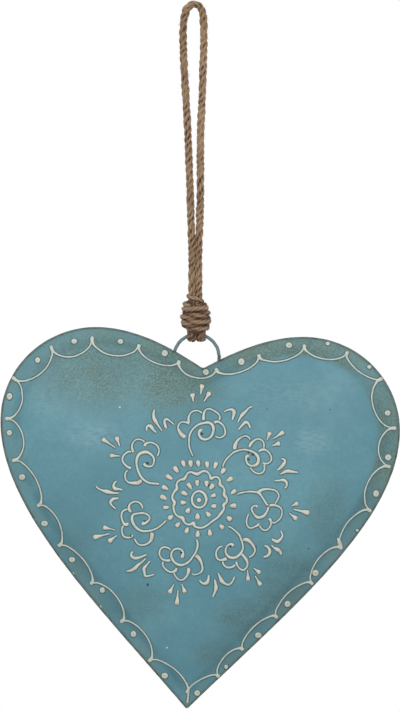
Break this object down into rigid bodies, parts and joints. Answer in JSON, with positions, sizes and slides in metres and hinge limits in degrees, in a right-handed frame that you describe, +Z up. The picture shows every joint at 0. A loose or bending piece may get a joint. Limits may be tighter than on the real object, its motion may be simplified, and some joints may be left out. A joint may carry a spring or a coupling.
{
  "type": "hanging heart ornament",
  "caption": "Hollow sheet-iron heart with painted folk ornament, hung by a wire arch from a knotted jute cord loop, for a wall, door or tree.",
  "frame": {"origin": "where a nail or hook carries the cord, under the top of the hanging loop", "axes": "+Z up along the hanging cord, +X to the right seen from the front, -Y out of the painted front"},
  "size_m": [0.1997, 0.0447, 0.3547],
  "materials": {
    "blue_paint": "satin blue paint, rubbed and stained, with cream line ornament on the front",
    "worn_edge": "the same paint, worn thin over dark iron",
    "braze": "dull brazed lumps",
    "jute": "laid jute cord, hairy and matt"
  },
  "bodies": {
    "cord_loop": {"hanging_loop": "jute"},
    "knot": {"knot_core": "jute", "knot_winding": "jute"},
    "eye": {"knot_eye": "jute"},
    "heart": {"front_shell": "blue_paint", "back_shell": "blue_paint", "seam_weld": "worn_edge", "cleft_weld": "worn_edge", "hanger_wire": "worn_edge", "wire_braze_left": "braze", "wire_braze_right": "braze"}
  },
  "joints": [
    {"name": "twirl", "type": "hinge", "parent": "cord_loop", "child": "knot", "pos_m": [0.0005, 0, -0.1466], "axis": [0, 0, 1], "range_deg": [-180, 180]},
    {"name": "swing", "type": "hinge", "parent": "knot", "child": "eye", "pos_m": [0.0011, 0, -0.16335], "axis": [1, 0, 0], "range_deg": [-80, 80]},
    {"name": "lean", "type": "hinge", "parent": "eye", "child": "heart", "pos_m": [0.0011, 0, -0.17465], "axis": [0, 1, 0], "range_deg": [-40, 40]}
  ]
}
